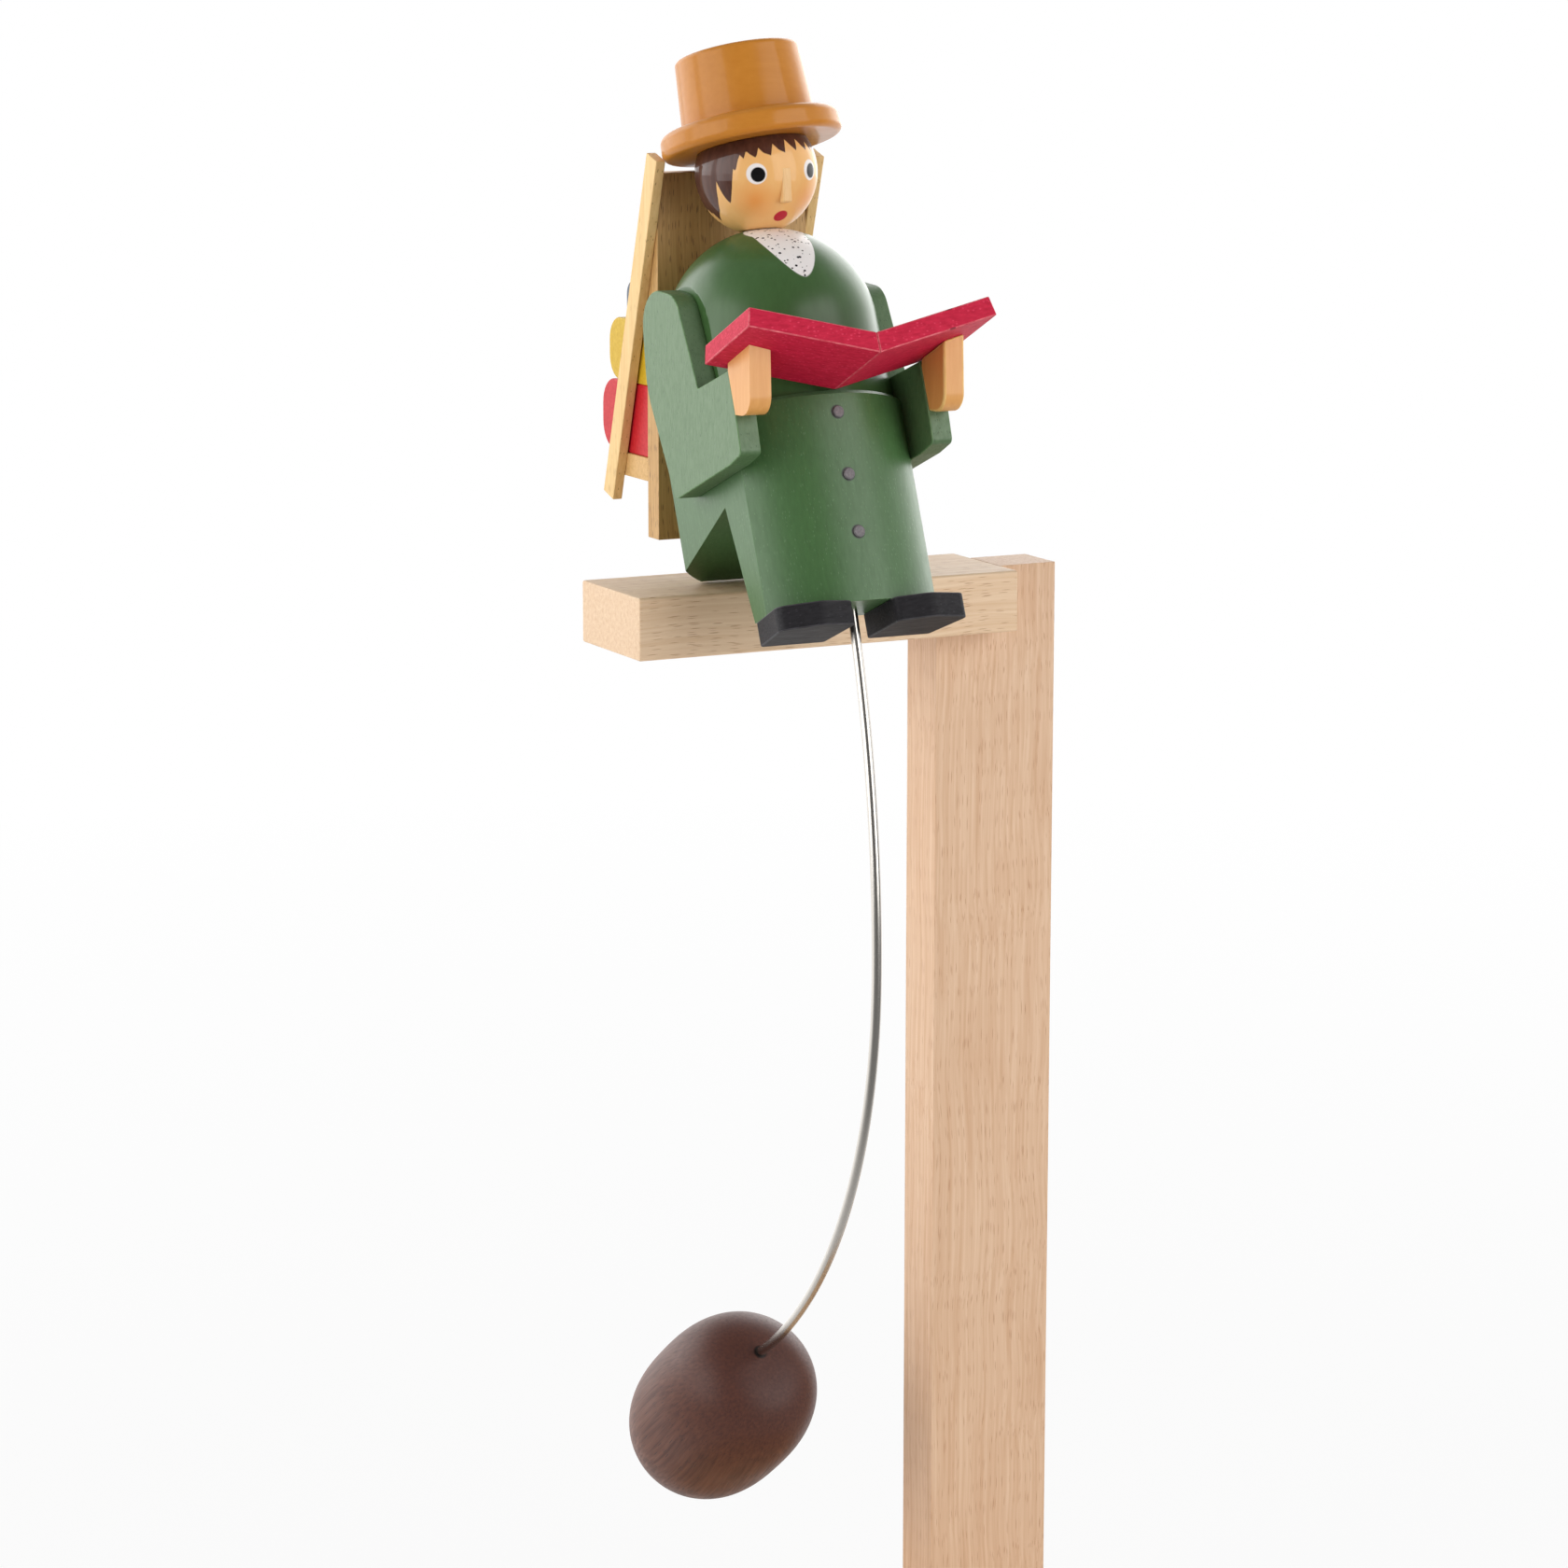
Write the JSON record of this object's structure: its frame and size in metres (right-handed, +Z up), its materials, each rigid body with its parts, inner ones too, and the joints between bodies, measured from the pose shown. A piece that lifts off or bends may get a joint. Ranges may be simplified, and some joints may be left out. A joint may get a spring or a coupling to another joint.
{
  "type": "wooden balancing toy",
  "caption": "Seated wooden figure reading a book, rocking on the edge of its coat at the front of a small seat and kept upright by a curved wire with a heavy ball below it.",
  "frame": {"origin": "centre of the underside of the stand's foot board", "axes": "+Z up, -Y the way the figure looks, +X to the figure's left, along the rocking edge"},
  "size_m": [0.125, 0.1156, 0.4144],
  "materials": {
    "beech": "planed beech, unfinished",
    "dowel_wood": "plain dowel",
    "green_paint": "green satin lacquer on turned wood",
    "green_stain": "green satin lacquer with the grain showing",
    "skin_paint": "skin-coloured gloss lacquer",
    "skin_wood": "skin-coloured satin stain",
    "ochre_paint": "honey ochre satin lacquer",
    "raspberry_stain": "raspberry red stain, pale at the edges",
    "button_black": "dark grey stained pegs",
    "shoe_black": "black stain, matt",
    "walnut": "dark brown satin stain",
    "carrier_wood": "light brown stained wood",
    "bundle_red": "red lacquer",
    "bundle_yellow": "yellow lacquer",
    "bundle_grey": "grey-blue lacquer",
    "screw_steel": "zinc plated steel",
    "wire_steel": "polished steel wire",
    "core_steel": "plain steel slug"
  },
  "bodies": {
    "stand": {"stand_foot": "beech", "stand_post": "beech", "seat_beam": "beech", "beam_dowel": "dowel_wood", "foot_screws": "screw_steel"},
    "figure": {"coat": "green_paint", "torso": "green_paint", "waist_dowel": "dowel_wood", "head": "skin_paint", "neck_peg": "dowel_wood", "nose": "skin_wood", "hat": "ochre_paint", "hat_peg": "dowel_wood", "arm_right": "green_stain", "arm_left": "green_stain", "hand_right": "skin_wood", "hand_left": "skin_wood", "book_right": "raspberry_stain", "book_left": "raspberry_stain", "buttons": "button_black", "shoe_right": "shoe_black", "shoe_left": "shoe_black", "pendulum_wire": "wire_steel", "counterweight_ball": "walnut", "ball_core": "core_steel", "ball_plug": "walnut", "carrier_board": "carrier_wood", "carrier_rail_right": "carrier_wood", "carrier_rail_left": "carrier_wood", "carrier_shelf": "carrier_wood", "bundle_red": "bundle_red", "bundle_yellow": "bundle_yellow", "bundle_grey": "bundle_grey", "carrier_pegs": "dowel_wood"}
  },
  "joints": [
    {"name": "rocking_edge", "type": "hinge", "parent": "stand", "child": "figure", "pos_m": [-0.019, 0, 0.2902], "axis": [1, 0, 0], "range_deg": [-18, 30]}
  ]
}
